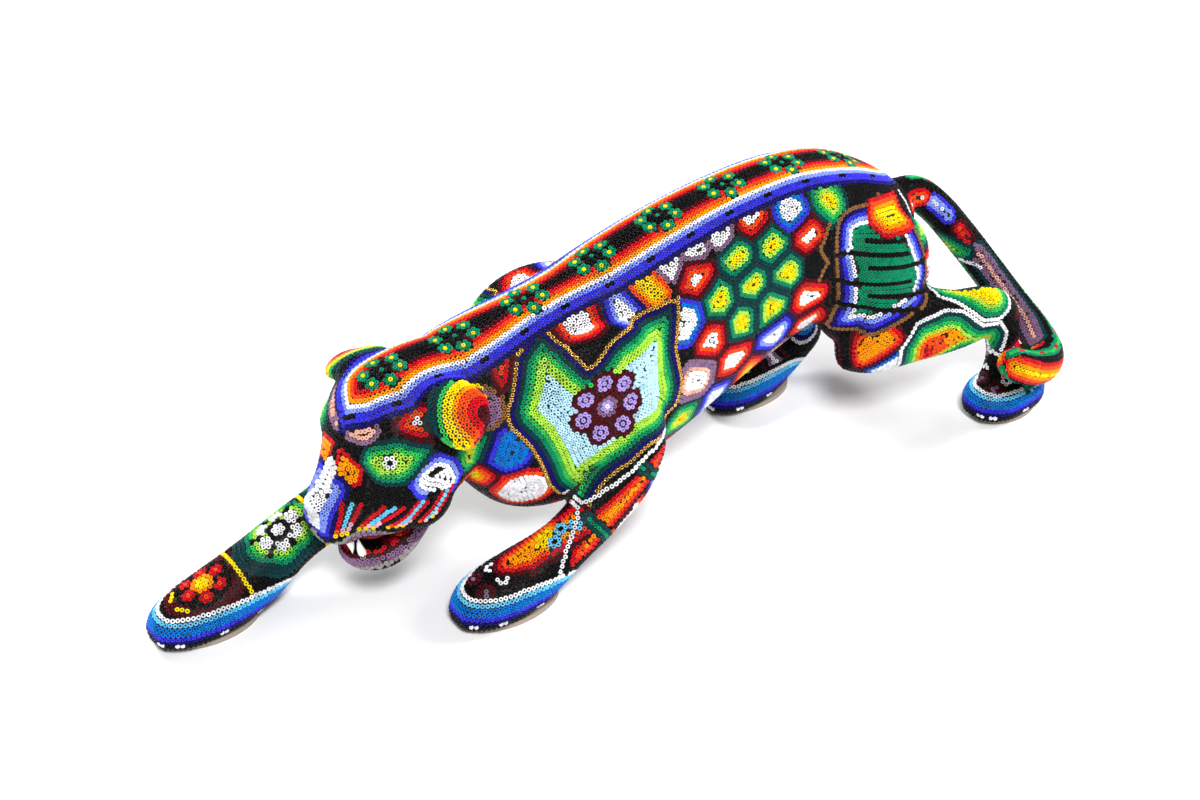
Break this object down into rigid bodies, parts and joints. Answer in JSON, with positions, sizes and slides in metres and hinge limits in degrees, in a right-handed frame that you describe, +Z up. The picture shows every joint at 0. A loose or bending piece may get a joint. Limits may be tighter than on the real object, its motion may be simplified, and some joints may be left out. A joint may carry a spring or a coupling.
{
  "type": "beaded animal figure",
  "caption": "Prowling big cat carved in wood, coated in wax and covered with glass seed beads in bright geometric patterns; it stands free on flat soles.",
  "frame": {"origin": "centre of the footprint box, on the surface the soles stand on", "axes": "+Z up, +X towards the tail, so the head looks along -X; the animal's left side faces -Y"},
  "size_m": [0.4108, 0.1196, 0.1298],
  "materials": {
    "carved_wood": "raw carved wood",
    "peg_wood": "turned dowel",
    "wax": "dark beeswax and resin, slightly glossy",
    "warm_beads": "opaque glass seed beads, glossy",
    "green_beads": "opaque glass seed beads, glossy",
    "blue_beads": "opaque glass seed beads, glossy",
    "red_beads": "opaque glass seed beads, glossy",
    "dark_beads": "opaque glass seed beads, glossy",
    "sole": "bare sanded wood pad, greyish",
    "fang": "polished ivory-white",
    "tongue": "red, glossy"
  },
  "bodies": {
    "root": {"torso_core": "carved_wood", "head_core": "carved_wood", "lower_jaw_core": "carved_wood", "left_ear_core": "carved_wood", "right_ear_core": "carved_wood", "left_foreleg_core": "carved_wood", "right_foreleg_core": "carved_wood", "left_hindleg_core": "carved_wood", "right_hindleg_core": "carved_wood", "tail_core": "carved_wood", "neck_peg": "peg_wood", "tail_peg": "peg_wood", "left_shoulder_peg": "peg_wood", "right_shoulder_peg": "peg_wood", "left_hip_peg": "peg_wood", "right_hip_peg": "peg_wood", "lower_jaw_peg": "peg_wood", "torso_wax_coat": "wax", "head_wax_coat": "wax", "lower_jaw_wax_coat": "wax", "left_ear_wax_coat": "wax", "right_ear_wax_coat": "wax", "left_foreleg_wax_coat": "wax", "right_foreleg_wax_coat": "wax", "left_hindleg_wax_coat": "wax", "right_hindleg_wax_coat": "wax", "tail_wax_coat": "wax", "back_beads": "warm_beads", "left_flank_beads": "green_beads", "right_flank_beads": "green_beads", "head_beads": "blue_beads", "lower_jaw_beads": "red_beads", "left_ear_beads": "warm_beads", "right_ear_beads": "warm_beads", "left_foreleg_beads": "blue_beads", "right_foreleg_beads": "blue_beads", "left_hindleg_beads": "green_beads", "right_hindleg_beads": "green_beads", "tail_beads": "dark_beads", "left_fore_sole": "sole", "right_fore_sole": "sole", "left_hind_sole": "sole", "right_hind_sole": "sole", "left_upper_fang": "fang", "right_upper_fang": "fang", "left_lower_fang": "fang", "right_lower_fang": "fang", "tongue": "tongue"}
  },
  "joints": []
}
